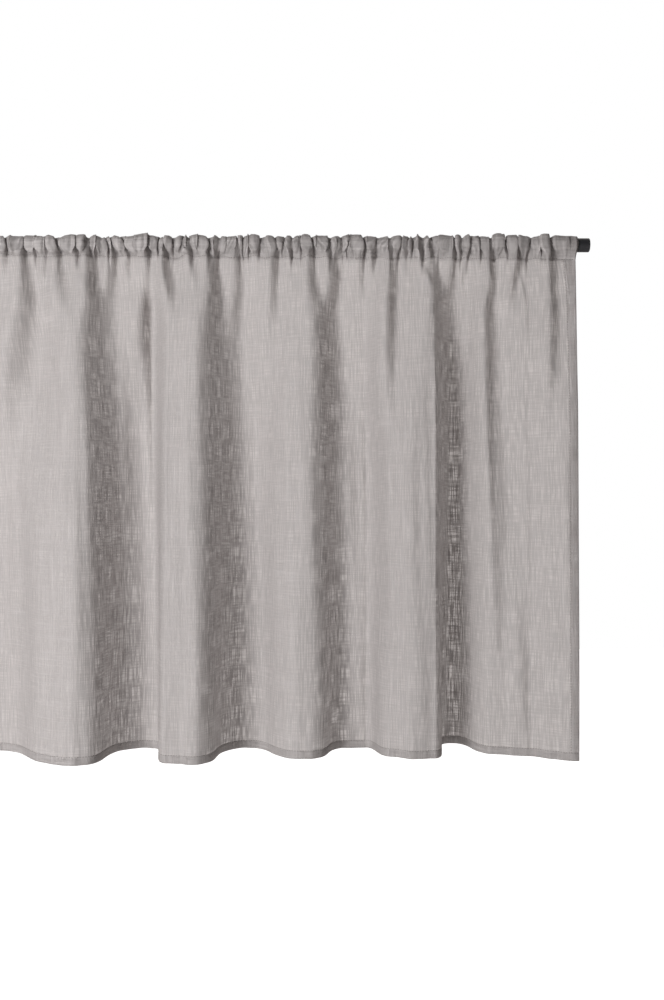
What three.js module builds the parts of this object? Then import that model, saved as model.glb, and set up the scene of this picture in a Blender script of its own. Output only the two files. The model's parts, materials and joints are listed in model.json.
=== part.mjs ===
// A cafe curtain: one linen cloth gathered by its rod pocket on a slim round rod.
// Millimetres. X runs along the rod, the room side faces -Y and Z is up.
// The origin is the middle of the rod's axis, and "down" is measured below that axis.
import * as THREE from 'three';

// Rod
const ROD_RADIUS = 8;
const ROD_PAST_CLOTH = 14;
const ROD_CHAMFER = 0.8;
const ROD_SIDES = 40;

// Cloth
const HALF_WIDTH = 400;
const STITCH_DOWN = 14;
const BOTTOM_DOWN = 590;
const HEM_WIDTH = 10;
const SHEET = 1.2;
const HEM_SHEET = 2.2;

// Rod pocket: the sheet's inner face stands this far from the rod's axis where a gather lies in,
// and the section round the rod has a corner at each of these angles, from the front over the top
const POCKET_RADIUS = 9.7;
const POCKET_ANGLES = [-30, 30, 90, 150, 210];
const POCKET_SEAM_DOWN = 11.2;
const SEAM_SWAY = 0.4;

// A gather stands out by the first of these where it is shallow and by the second where it is deep
const GATHER_STAND = [2.4, 5.6];
const GATHER_UNEVEN = 2.3;

// Gathers fade out just below the stitching, pleats take over and fade at their own reach,
// and the deep folds grow down to the bottom edge
const GATHER_FADE = [16, 52];
const PLEAT_RISE = [12, 34];
const PLEAT_AT_ROD = 0.25;
const FOLD_GROWTH = 150;
const STEEPEST = 2.2;
const MOST_SMALL = 1.5;
const STEEPEST_SMALL = 1.3;

// Rows of the sheet below the stitching, with every column and then with every second one
const FINE_ROWS_DOWN = [20, 30];
const HEM_DOWN = BOTTOM_DOWN - HEM_WIDTH;
const ROWS_DOWN = [46, 70, 106, 160, 235, 335, 455, HEM_DOWN - 2, HEM_DOWN, BOTTOM_DOWN];
const COLUMNS_PER_GATHER = 3;

// Deep folds: where the bottom edge turns, from the left side hem to the right one.
// x: place along the rod. lean: how far its line drifts to the left by the top. y: room side is negative
const TURNS = [
  { x: -400, lean: 0, y: 6 },
  { x: -336, lean: 4, y: -42 },
  { x: -275, lean: 8, y: 20 },
  { x: -170, lean: 14, y: -56 },
  { x: -112, lean: 12, y: 29 },
  { x: -101, lean: 12, y: 27 },
  { x: -48, lean: 10, y: -52 },
  { x: 21, lean: 10, y: 34 },
  { x: 81, lean: 10, y: -22 },
  { x: 143, lean: 10, y: 39 },
  { x: 195, lean: 10, y: -29 },
  { x: 216, lean: 10, y: -25 },
  { x: 247, lean: 8, y: 60 },
  { x: 308, lean: 4, y: -4 },
  { x: 326, lean: 2, y: -2 },
  { x: 400, lean: 0, y: -32 },
];

// Pleats under the heading. x: the crease that starts it. gathers: small gathers up to the next crease.
// reach: how far down the crease runs
const PLEATS = [
  { x: -400, gathers: 1, reach: 60 },
  { x: -386, gathers: 3, reach: 60 },
  { x: -352, gathers: 2, reach: 120 },
  { x: -326, gathers: 3, reach: 60 },
  { x: -296, gathers: 3, reach: 100 },
  { x: -266, gathers: 2, reach: 60 },
  { x: -240, gathers: 3, reach: 170 },
  { x: -199, gathers: 3, reach: 60 },
  { x: -163, gathers: 2, reach: 300 },
  { x: -140, gathers: 2, reach: 90 },
  { x: -119, gathers: 2, reach: 50 },
  { x: -97, gathers: 2, reach: 170 },
  { x: -76, gathers: 3, reach: 80 },
  { x: -46, gathers: 2, reach: 45 },
  { x: -17, gathers: 2, reach: 300 },
  { x: 9, gathers: 3, reach: 130 },
  { x: 31, gathers: 2, reach: 45 },
  { x: 52, gathers: 4, reach: 120 },
  { x: 91, gathers: 3, reach: 110 },
  { x: 121, gathers: 2, reach: 110 },
  { x: 149, gathers: 1, reach: 60 },
  { x: 164, gathers: 2, reach: 50 },
  { x: 188, gathers: 4, reach: 200 },
  { x: 222, gathers: 1, reach: 50 },
  { x: 237, gathers: 1, reach: 260 },
  { x: 259, gathers: 3, reach: 110 },
  { x: 286, gathers: 1, reach: 50 },
  { x: 303, gathers: 2, reach: 300 },
  { x: 332, gathers: 3, reach: 70 },
  { x: 370, gathers: 2, reach: 140 },
  { x: 400, gathers: 0, reach: 60 },
];

const TURN = 2 * Math.PI;
const HALF_FOLD_SAMPLES = 48;

function mix(a, b, t) {
  return a + (b - a) * t;
}

function clamp(value, low, high) {
  return Math.min(Math.max(value, low), high);
}

function smoothstep([low, high], value) {
  const t = clamp((value - low) / (high - low), 0, 1);
  return t * t * (3 - 2 * t);
}

// The value between low and high at which a rising function passes zero
function solve(rising, low, high) {
  for (let step = 0; step < 40; step++) {
    const middle = (low + high) / 2;
    if (rising(middle) < 0) low = middle;
    else high = middle;
  }
  return (low + high) / 2;
}

// A half fold bends like a river: its direction swings out to an angle and back along its length.
// These are its width and its depth for each millimetre of cloth
function average(value) {
  let sum = 0;
  for (let i = 0; i < HALF_FOLD_SAMPLES; i++) sum += value((i + 0.5) / HALF_FOLD_SAMPLES);
  return sum / HALF_FOLD_SAMPLES;
}

function foldRun(angle) {
  return average((t) => Math.cos(angle * Math.sin(Math.PI * t)));
}

function foldRise(angle) {
  return average((t) => Math.sin(angle * Math.sin(Math.PI * t)));
}

// The half folds between the turns, each with the cloth that it takes
function makeHalfFolds() {
  let start = 0;
  return TURNS.slice(1).map((turn, i) => {
    const before = TURNS[i];
    const width = turn.x - before.x;
    const depth = turn.y - before.y;
    const slope = Math.abs(depth) / width;
    const angle = solve((a) => foldRise(a) / foldRun(a) - slope, 0, STEEPEST);
    const cloth = width / foldRun(angle);
    const fold = { before, turn, depth, start, cloth };
    start += cloth;
    return fold;
  });
}

const HALF_FOLDS = makeHalfFolds();
const LAST_FOLD = HALF_FOLDS[HALF_FOLDS.length - 1];
const FLAT_WIDTH = LAST_FOLD.start + LAST_FOLD.cloth;

function topX(turn) {
  return turn.x - turn.lean;
}

// The place on the flat cloth that hangs from a place along the rod
function clothAt(x) {
  const fold = HALF_FOLDS.find((f) => x <= topX(f.turn)) ?? LAST_FOLD;
  const share = (x - topX(fold.before)) / (topX(fold.turn) - topX(fold.before));
  return fold.start + fold.cloth * share;
}

const CREASES = PLEATS.map((pleat) => clothAt(pleat.x));

// The pleat at a place on the cloth, and how far across it the place lies
function pleatAt(along) {
  const next = CREASES.findIndex((crease) => along < crease);
  const k = next < 0 ? PLEATS.length - 2 : Math.max(next - 1, 0);
  return { k, t: clamp((along - CREASES[k]) / (CREASES[k + 1] - CREASES[k]), 0, 1) };
}

// How far the pocket stands out from the rod at a place, in uneven gathers
function gatherStand(along) {
  const { k, t } = pleatAt(along);
  const turns = PLEATS[k].gathers * t;
  const deep = 0.5 + 0.5 * Math.sin(GATHER_UNEVEN * (PLEATS[k].x + Math.floor(turns)));
  return mix(...GATHER_STAND, deep) * (0.5 - 0.5 * Math.sin(TURN * turns));
}

// How strongly each kind of small fold bends the sheet, from -1 to 1 or so
function smallFolds(along, down) {
  const { k, t } = pleatAt(along);
  const reach = mix(PLEATS[k].reach, PLEATS[k + 1].reach, t);
  const rise = mix(PLEAT_AT_ROD, 1, smoothstep(PLEAT_RISE, down));
  const pleat = rise * (1 - smoothstep([reach * 0.3, reach * 1.3], down));
  const gather = 1 - smoothstep(GATHER_FADE, down);
  return pleat * Math.cos(TURN * t) + gather * Math.cos(TURN * PLEATS[k].gathers * t);
}

function foldGrowth(down) {
  const grown = (d) => 1 - Math.exp(-Math.max(d - STITCH_DOWN, 0) / FOLD_GROWTH);
  return grown(down) / grown(BOTTOM_DOWN);
}

function lineX(turn, down) {
  return turn.x - turn.lean * (1 - smoothstep([STITCH_DOWN, BOTTOM_DOWN], down));
}

// The sheet's direction in a deep fold with small folds on it, which never lie over each other
function direction(deep, t, small) {
  const limit = Math.max(STEEPEST_SMALL, Math.abs(deep));
  return clamp(deep * Math.sin(Math.PI * t) + small, -limit, limit);
}

// The half fold at a height: how far its deep fold swings, and how much of the small folds
// uses up the rest of its cloth
function bendOfHalfFold(fold, down) {
  const depth = fold.depth * foldGrowth(down);
  const width = lineX(fold.turn, down) - lineX(fold.before, down);
  const rise = Math.abs(depth) / fold.cloth;
  const deep = Math.sign(fold.depth) * solve((a) => foldRise(a) - rise, 0, STEEPEST);
  const small = (t) => smallFolds(fold.start + fold.cloth * t, down);
  const runWith = (share) => average((t) => Math.cos(direction(deep, t, share * small(t))));
  const share = solve((a) => width / fold.cloth - runWith(a), 0, MOST_SMALL);
  return { depth, width, deep, share };
}

// The plan of one half fold at a height. Its small folds ease into its neighbours', and its ends
// are brought to their turns exactly
function planOfHalfFold(k, bends, down) {
  const fold = HALF_FOLDS[k];
  const { depth, width, deep, share } = bends[k];
  const shareBefore = (share + (bends[k - 1] ?? bends[k]).share) / 2;
  const shareAfter = (share + (bends[k + 1] ?? bends[k]).share) / 2;
  const points = [[0, 0]];
  const step = fold.cloth / HALF_FOLD_SAMPLES;
  for (let i = 0; i < HALF_FOLD_SAMPLES; i++) {
    const t = (i + 0.5) / HALF_FOLD_SAMPLES;
    const eased = t < 0.5 ? mix(shareBefore, share, 2 * t) : mix(share, shareAfter, 2 * t - 1);
    const angle = direction(deep, t, eased * smallFolds(fold.start + fold.cloth * t, down));
    const [x, y] = points[i];
    points.push([x + step * Math.cos(angle), y + step * Math.sin(angle)]);
  }
  const [endX, endY] = points[HALF_FOLD_SAMPLES];
  const startX = lineX(fold.before, down);
  const startY = fold.before.y * foldGrowth(down);
  return points.map(([x, y], i) => {
    const t = i / HALF_FOLD_SAMPLES;
    return [startX + x + (width - endX) * t, startY + y + (depth - endY) * t];
  });
}

// The plan of the whole width at a height, as a function of the place on the flat cloth
function planAt(down) {
  const bends = HALF_FOLDS.map((fold) => bendOfHalfFold(fold, down));
  const plans = HALF_FOLDS.map((_, k) => planOfHalfFold(k, bends, down));
  return (along) => {
    const k = HALF_FOLDS.findLastIndex((fold) => along >= fold.start);
    const points = plans[k];
    const place = clamp((along - HALF_FOLDS[k].start) / HALF_FOLDS[k].cloth, 0, 1) * HALF_FOLD_SAMPLES;
    const i = Math.min(Math.floor(place), HALF_FOLD_SAMPLES - 1);
    const t = place - i;
    return [mix(points[i][0], points[i + 1][0], t), mix(points[i][1], points[i + 1][1], t)];
  };
}

// Columns of the sheet: a few to each gather, with the inner edges of the side hems. Their number
// is odd, so that every second one takes in both side edges
function makeColumns() {
  const columns = [];
  for (let k = 0; k < PLEATS.length - 1; k++) {
    const count = COLUMNS_PER_GATHER * PLEATS[k].gathers;
    for (let i = 0; i < count; i++) columns.push(mix(CREASES[k], CREASES[k + 1], (i + 0.5) / count));
  }
  const inside = columns.filter((c) => c > HEM_WIDTH * 1.5 && c < FLAT_WIDTH - HEM_WIDTH * 1.5);
  if (inside.length % 2 === 0) inside.pop();
  const hem = [0, HEM_WIDTH / 2, HEM_WIDTH];
  return [...hem, ...inside, ...hem.map((c) => FLAT_WIDTH - c).reverse()];
}

const COLUMNS = makeColumns();

function thicknessAt(along, down) {
  const inHem = along <= HEM_WIDTH || along >= FLAT_WIDTH - HEM_WIDTH || down >= BOTTOM_DOWN - HEM_WIDTH;
  return inHem ? HEM_SHEET : SHEET;
}

// Both faces of a row of the hanging sheet. Its front is half a sheet forward of the plan,
// and the extra layers of a hem, or of the pocket's back where it is sewn on, are all behind it
function hangingRow(down, columns, sewnOn = 0) {
  const plan = planAt(down);
  const row = { front: [], back: [] };
  for (const along of columns) {
    const [x, y] = plan(along);
    const before = plan(Math.max(along - SHEET, 0));
    const after = plan(Math.min(along + SHEET, FLAT_WIDTH));
    const across = new THREE.Vector2(after[0] - before[0], after[1] - before[1]).normalize();
    const behind = thicknessAt(along, down) + sewnOn - SHEET / 2;
    row.front.push([x + across.y * SHEET / 2, y - across.x * SHEET / 2, -down]);
    row.back.push([x - across.y * behind, y + across.x * behind, -down]);
  }
  return row;
}

// A ring of the pocket round the rod, out to the tops of the gathers
function pocketRing(radius, plan) {
  return POCKET_ANGLES.map((degrees) => {
    const angle = THREE.MathUtils.degToRad(degrees);
    return COLUMNS.map((along) => {
      const out = radius + gatherStand(along);
      return [plan(along)[0], -out * Math.cos(angle), out * Math.sin(angle)];
    });
  });
}

// Collects points and triangles of one closed body
class Surface {
  constructor() {
    this.positions = [];
    this.triangles = [];
  }

  row(points) {
    return points.map((point) => {
      this.positions.push(...point);
      return this.positions.length / 3 - 1;
    });
  }

  // Joins two rows with as many points each. Seen from outside, upper is above lower and
  // both run to the right
  band(upper, lower) {
    for (let i = 0; i < upper.length - 1; i++) {
      this.triangles.push(upper[i], lower[i], lower[i + 1], upper[i], lower[i + 1], upper[i + 1]);
    }
  }

  // Joins a row to one with every second of its columns
  halvingBand(upper, lower, flip) {
    const add = (a, b, c) => this.triangles.push(...(flip ? [a, c, b] : [a, b, c]));
    for (let i = 0; i < lower.length - 1; i++) {
      add(upper[2 * i], lower[i], upper[2 * i + 1]);
      add(upper[2 * i + 1], lower[i], lower[i + 1]);
      add(upper[2 * i + 1], lower[i + 1], upper[2 * i + 2]);
    }
  }

  geometry() {
    const geometry = new THREE.BufferGeometry();
    geometry.setAttribute('position', new THREE.Float32BufferAttribute(this.positions, 3));
    geometry.setIndex(this.triangles);
    geometry.computeVertexNormals();
    return geometry;
  }
}

// The cloth is one body: the sheet, its hems and the pocket with the tunnel for the rod
function clothGeometry() {
  const surface = new Surface();
  const halfColumns = COLUMNS.filter((_, i) => i % 2 === 0);
  const rodPlan = planAt(0);
  const stitchPlan = planAt(STITCH_DOWN);

  // Rows from the stitching down, on both faces
  const stitch = hangingRow(STITCH_DOWN, COLUMNS, SHEET);
  const fine = FINE_ROWS_DOWN.map((down) => hangingRow(down, COLUMNS));
  const coarse = ROWS_DOWN.map((down) => hangingRow(down, halfColumns));
  const fineFront = [stitch, ...fine].map((row) => surface.row(row.front));
  const fineBack = [stitch, ...fine].map((row) => surface.row(row.back));
  const coarseFront = coarse.map((row) => surface.row(row.front));
  const coarseBack = coarse.map((row) => surface.row(row.back));
  for (let i = 0; i < fineFront.length - 1; i++) {
    surface.band(fineFront[i], fineFront[i + 1]);
    surface.band(fineBack[i + 1], fineBack[i]);
  }
  surface.halvingBand(fineFront.at(-1), coarseFront[0], false);
  surface.halvingBand(fineBack.at(-1), coarseBack[0], true);
  for (let i = 0; i < coarseFront.length - 1; i++) {
    surface.band(coarseFront[i], coarseFront[i + 1]);
    surface.band(coarseBack[i + 1], coarseBack[i]);
  }
  surface.band(coarseFront.at(-1), coarseBack.at(-1));

  // Outside of the pocket, from the stitching in front over the rod to the stitching behind
  const outside = pocketRing(POCKET_RADIUS + SHEET, rodPlan).map((ring) => surface.row(ring));
  const over = [fineFront[0], ...outside, fineBack[0]];
  for (let i = 0; i < over.length - 1; i++) surface.band(over[i + 1], over[i]);

  // Tunnel for the rod, closed below by the seam
  const seam = COLUMNS.map((along) => [rodPlan(along)[0], stitchPlan(along)[1] * SEAM_SWAY, -POCKET_SEAM_DOWN]);
  const tunnel = pocketRing(POCKET_RADIUS, rodPlan).map((ring) => surface.row(ring));
  tunnel.push(surface.row(seam));
  for (let i = 0; i < tunnel.length; i++) surface.band(tunnel[i], tunnel[(i + 1) % tunnel.length]);

  // Side edges: the sheet's edge strip and the pocket's open end
  for (const atLeft of [true, false]) {
    const end = (row) => (atLeft ? row[0] : row.at(-1));
    const quad = (a, b, c, d) => surface.triangles.push(...(atLeft ? [a, b, c, a, c, d] : [a, c, b, a, d, c]));
    const fronts = [...fineFront, ...coarseFront].map(end);
    const backs = [...fineBack, ...coarseBack].map(end);
    for (let i = 0; i < fronts.length - 1; i++) quad(fronts[i], backs[i], backs[i + 1], fronts[i + 1]);
    const ring = outside.map(end);
    const hole = tunnel.map(end);
    for (let i = 0; i < ring.length - 1; i++) quad(ring[i], ring[i + 1], hole[i + 1], hole[i]);
    const low = hole.at(-1);
    quad(fronts[0], ring[0], hole[0], low);
    quad(backs[0], low, hole[ring.length - 1], ring.at(-1));
    surface.triangles.push(...(atLeft ? [fronts[0], low, backs[0]] : [fronts[0], backs[0], low]));
  }
  return surface.geometry();
}

function rodGeometry() {
  const half = HALF_WIDTH + ROD_PAST_CLOTH;
  const profile = [
    [0, -half],
    [ROD_RADIUS - ROD_CHAMFER, -half],
    [ROD_RADIUS, -half + ROD_CHAMFER],
    [ROD_RADIUS, half - ROD_CHAMFER],
    [ROD_RADIUS - ROD_CHAMFER, half],
    [0, half],
  ].map(([radius, along]) => new THREE.Vector2(radius, along));
  return new THREE.LatheGeometry(profile, ROD_SIDES);
}

function namedMesh(name, geometry, material) {
  const mesh = new THREE.Mesh(geometry, new THREE.MeshStandardMaterial(material));
  mesh.name = name;
  return mesh;
}

const curtain = new THREE.Group();
curtain.add(namedMesh('cloth_panel', clothGeometry(), { color: 0xb3aca6, roughness: 0.95, metalness: 0 }));
const rod = namedMesh('rod', rodGeometry(), { color: 0x27272b, roughness: 0.45, metalness: 0.6 });
rod.rotation.z = Math.PI / 2;
curtain.add(rod);

export default curtain;
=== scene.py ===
# %% [markdown]
# A cafe curtain is one length of cloth that covers the lower half of a window. This one is semi-sheer
# linen, gathered by its rod pocket on a slim dark rod. The solids of the part are already packed: here they
# are loaded as a fixed frame, and the cloth gets its real thinness, its folds, its weave and its sewing.

# %% Load the frame
import json
import math

import bpy
import numpy as np
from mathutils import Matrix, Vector

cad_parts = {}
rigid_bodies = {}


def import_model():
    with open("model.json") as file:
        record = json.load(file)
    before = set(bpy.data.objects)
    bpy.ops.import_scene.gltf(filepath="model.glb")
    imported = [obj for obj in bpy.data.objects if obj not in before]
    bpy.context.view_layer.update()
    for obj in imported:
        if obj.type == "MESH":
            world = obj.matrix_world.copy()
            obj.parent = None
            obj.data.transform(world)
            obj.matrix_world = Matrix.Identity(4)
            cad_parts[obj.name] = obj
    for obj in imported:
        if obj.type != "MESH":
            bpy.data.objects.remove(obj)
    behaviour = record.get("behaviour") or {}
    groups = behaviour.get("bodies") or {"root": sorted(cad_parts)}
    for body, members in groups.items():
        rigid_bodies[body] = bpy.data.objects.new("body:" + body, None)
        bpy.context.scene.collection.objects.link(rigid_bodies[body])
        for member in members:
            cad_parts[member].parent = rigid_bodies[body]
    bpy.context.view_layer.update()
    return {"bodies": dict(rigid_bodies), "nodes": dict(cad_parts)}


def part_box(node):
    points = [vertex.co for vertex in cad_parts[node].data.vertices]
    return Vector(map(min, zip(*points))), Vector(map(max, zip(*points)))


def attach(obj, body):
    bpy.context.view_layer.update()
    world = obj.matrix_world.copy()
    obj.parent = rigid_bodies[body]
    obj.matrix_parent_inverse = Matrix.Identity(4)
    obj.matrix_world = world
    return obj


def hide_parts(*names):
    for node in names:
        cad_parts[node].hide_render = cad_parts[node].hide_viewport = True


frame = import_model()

BODY = next(iter(frame["bodies"]))
MM = 0.001
print("frame:", list(frame["nodes"]), "on", BODY)

# %% [markdown]
# The photograph looks straight at the curtain from a short way off. One pixel is 1.159 mm at the rod, the
# picture's middle column falls 116 mm to the right of the curtain's middle, and the middle row is 295 mm
# below the rod. The camera stands there, so nothing is shifted. Its focal length follows from the distance
# and that scale.

# %% Camera
PHOTO_ROWS = 1000
MM_PER_PIXEL = 1.159
CAMERA_DISTANCE = 1300
CAMERA_X = 116.05
CAMERA_BELOW_ROD = 295.2
SENSOR = 36

camera_data = bpy.data.cameras.new("photo_camera")
camera_data.sensor_width = SENSOR
camera_data.lens = SENSOR * CAMERA_DISTANCE / (MM_PER_PIXEL * PHOTO_ROWS)
camera = bpy.data.objects.new("photo_camera", camera_data)
camera.location = Vector((CAMERA_X, -CAMERA_DISTANCE, -CAMERA_BELOW_ROD)) * MM
camera.rotation_euler = (math.radians(90), 0, 0)
bpy.context.scene.collection.objects.link(camera)
bpy.context.scene.camera = camera
print(f"lens {camera_data.lens:.1f} mm")

# %% [markdown]
# The folds read because soft light comes from the left of the camera and leaves every flank that turns to
# the right in shade. One large round area light does that: the larger it is, the softer the change from
# light to shade.

# %% Key light
KEY_FROM = (-960, -1640, -190)
KEY_AIM = (0, 0, -290)
KEY_SIZE = 800
KEY_WATTS = 34.5


def add_key_light():
    data = bpy.data.lights.new("key_light", "AREA")
    data.shape = "DISK"
    data.size = KEY_SIZE * MM
    data.energy = KEY_WATTS
    light = bpy.data.objects.new("key_light", data)
    light.location = Vector(KEY_FROM) * MM
    light.rotation_euler = (Vector(KEY_AIM) - Vector(KEY_FROM)).to_track_quat("-Z", "Y").to_euler()
    bpy.context.scene.collection.objects.link(light)
    print(f"key light of {KEY_WATTS} W, {KEY_SIZE} mm across")


bpy.context.scene.view_settings.view_transform = "Standard"
add_key_light()

# %% [markdown]
# A curtain hangs between a dim room and a bright window, and linen this thin glows with the light behind
# it. So the light all around is weak on the room's side and strong on the window's, with a soft change
# between them. What the camera itself sees behind the cloth is plain white.

# %% Room and window light
ROOM_LIGHT = 0.1
WINDOW_LIGHT = 1.03
WINDOW_STARTS = -0.2
WINDOW_FULL = 0.5
WARM_WHITE = (1, 0.95, 0.92, 1)
PURE_WHITE = (1, 1, 1, 1)
BACKDROP = 1.0


def make_room():
    world = bpy.data.worlds.new("room")
    world.use_nodes = True
    tree = world.node_tree
    tree.nodes.clear()
    toward = tree.nodes.new("ShaderNodeTexCoord")
    axes = tree.nodes.new("ShaderNodeSeparateXYZ")
    strength = tree.nodes.new("ShaderNodeMapRange")
    strength.inputs["From Min"].default_value = WINDOW_STARTS
    strength.inputs["From Max"].default_value = WINDOW_FULL
    strength.inputs["To Min"].default_value = ROOM_LIGHT
    strength.inputs["To Max"].default_value = WINDOW_LIGHT
    around = tree.nodes.new("ShaderNodeBackground")
    around.inputs["Color"].default_value = WARM_WHITE
    seen = tree.nodes.new("ShaderNodeBackground")
    seen.inputs["Color"].default_value = PURE_WHITE
    seen.inputs["Strength"].default_value = BACKDROP
    path = tree.nodes.new("ShaderNodeLightPath")
    mixed = tree.nodes.new("ShaderNodeMixShader")
    out = tree.nodes.new("ShaderNodeOutputWorld")
    tree.links.new(toward.outputs["Generated"], axes.inputs[0])
    tree.links.new(axes.outputs["Y"], strength.inputs["Value"])
    tree.links.new(strength.outputs[0], around.inputs["Strength"])
    tree.links.new(path.outputs["Is Camera Ray"], mixed.inputs[0])
    tree.links.new(around.outputs[0], mixed.inputs[1])
    tree.links.new(seen.outputs[0], mixed.inputs[2])
    tree.links.new(mixed.outputs[0], out.inputs["Surface"])
    bpy.context.scene.world = world
    print(f"light of the room {ROOM_LIGHT}, of the window {WINDOW_LIGHT}")


make_room()

# %% [markdown]
# The curtain hangs well above a plain pale floor. The floor shines a little, but to the camera alone. So it
# looks as white as the backdrop, and still doesn't light the cloth from below.

# %% Floor
FLOOR_DOWN = 1000
FLOOR_HALF = 4000
FLOOR_GREY = (0.7, 0.7, 0.7, 1)
FLOOR_ROUGHNESS = 0.8
FLOOR_SHINE = 0.9


def floor_material():
    paint = bpy.data.materials.new("pale_floor")
    paint.use_nodes = True
    shader = paint.node_tree.nodes["Principled BSDF"]
    shader.inputs["Base Color"].default_value = FLOOR_GREY
    shader.inputs["Roughness"].default_value = FLOOR_ROUGHNESS
    shader.inputs["Emission Color"].default_value = PURE_WHITE
    path = paint.node_tree.nodes.new("ShaderNodeLightPath")
    shine = paint.node_tree.nodes.new("ShaderNodeMath")
    shine.operation = "MULTIPLY"
    shine.inputs[1].default_value = FLOOR_SHINE
    paint.node_tree.links.new(path.outputs["Is Camera Ray"], shine.inputs[0])
    paint.node_tree.links.new(shine.outputs[0], shader.inputs["Emission Strength"])
    return paint


def make_floor():
    half = FLOOR_HALF * MM
    z = -FLOOR_DOWN * MM
    corners = [(-half, -half, z), (half, -half, z), (half, half, z), (-half, half, z)]
    mesh = bpy.data.meshes.new("floor")
    mesh.from_pydata(corners, [], [(0, 1, 2, 3)])
    mesh.materials.append(floor_material())
    floor = bpy.data.objects.new("floor", mesh)
    bpy.context.scene.collection.objects.link(floor)
    print(f"floor {FLOOR_DOWN} mm below the rod")


make_floor()

# %% [markdown]
# Cloth keeps its length, so a curtain's folds are not free shapes: whatever width the rod takes away has to
# go into depth. The table is the curtain's own. It says where the bottom edge turns, and how far back or
# forward it is there.

# %% Sizes of the cloth and the turns of its deep folds
HALF_WIDTH = 400
STITCH_DOWN = 14
BOTTOM_DOWN = 590
HEM_WIDTH = 9
LAYER_GAP = 0.7

# x: place along the rod at the bottom edge. lean: drift to the left by the top. y: the room side is negative.
# peak: the share of the half fold to the right at which it is steepest
TURN_COLUMNS = ("x", "lean", "y", "peak")
TURNS = [
    (-400, 0, 6, 0.4), (-336, 4, -42, 0.4), (-275, 8, 20, 0.4), (-167, 15, -57, 0.42), (-104, 8, 33, 0.4),
    (-95, 6, 31, 0.5), (-70, 4, -45, 0.4), (-38, 4, -52, 0.42), (20, 4, 34, 0.4), (84, 4, -24, 0.5),
    (140, 6, 40, 0.4), (157, 6, 38, 0.4), (188, 5, -22, 0.4), (205, 4, -28, 0.5), (234, 2, -23, 0.45),
    (258, 4, 60, 0.45), (311, 3, 0, 0.5), (395.5, -2, -34, 0.4),
]


def columns_of(table, names):
    """The table's columns as arrays, by name."""
    return {name: np.array([row[i] for row in table], float) for i, name in enumerate(names)}


turns = columns_of(TURNS, TURN_COLUMNS)
top_x = turns["x"] - turns["lean"]
print(len(TURNS), "turns of the bottom edge")

# %% [markdown]
# The plan of a fold, seen from above, is drawn like a river's bend: its direction swings out and back along
# its length. It swings soonest next to the crest, so crests are tight and valleys are wide. How far it
# swings is solved for each half fold from its width and depth, and that gives how much cloth the half fold
# takes.

# %% Plan of one half fold
SAMPLES = 96
STEEPEST = 2.2
HALVINGS = 36
# a half fold this much deeper than wide holds its steepest direction for longer, as this power of the swing
STEEP_FOLD = 1.6
STEEP_HOLD = 0.4

MIDDLES = (np.arange(SAMPLES) + 0.5) / SAMPLES
ENDS = (np.arange(SAMPLES) + 1) / SAMPLES
FOLD_COUNT = len(TURNS) - 1
fold_width = np.diff(turns["x"])
fold_depth = np.diff(turns["y"])
early = np.log(0.5) / np.log(turns["peak"][:-1, None])
held = np.where(np.abs(fold_depth) > STEEP_FOLD * fold_width, STEEP_HOLD, 1)[:, None]
swing = np.sin(np.pi * MIDDLES**early) ** held


def solve(rising, low, high, count):
    """For each of count rising functions, the value between low and high at which it passes zero."""
    low = np.full(count, float(low))
    high = np.full(count, float(high))
    for _ in range(HALVINGS):
        middle = (low + high) / 2
        below = rising(middle) < 0
        low = np.where(below, middle, low)
        high = np.where(below, high, middle)
    return (low + high) / 2


def fold_run(angle):
    return np.cos(angle[:, None] * swing).mean(axis=1)


def fold_rise(angle):
    return np.sin(angle[:, None] * swing).mean(axis=1)


fold_slope = np.abs(fold_depth) / fold_width
fold_angle = solve(lambda angle: fold_rise(angle) / fold_run(angle) - fold_slope, 0, STEEPEST, FOLD_COUNT)
fold_cloth = fold_width / fold_run(fold_angle)
fold_start = np.concatenate([[0], np.cumsum(fold_cloth)])
FLAT_WIDTH = fold_start[-1]
print(f"cloth {FLAT_WIDTH:.0f} mm wide, gathered to {2 * HALF_WIDTH} mm")
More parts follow.
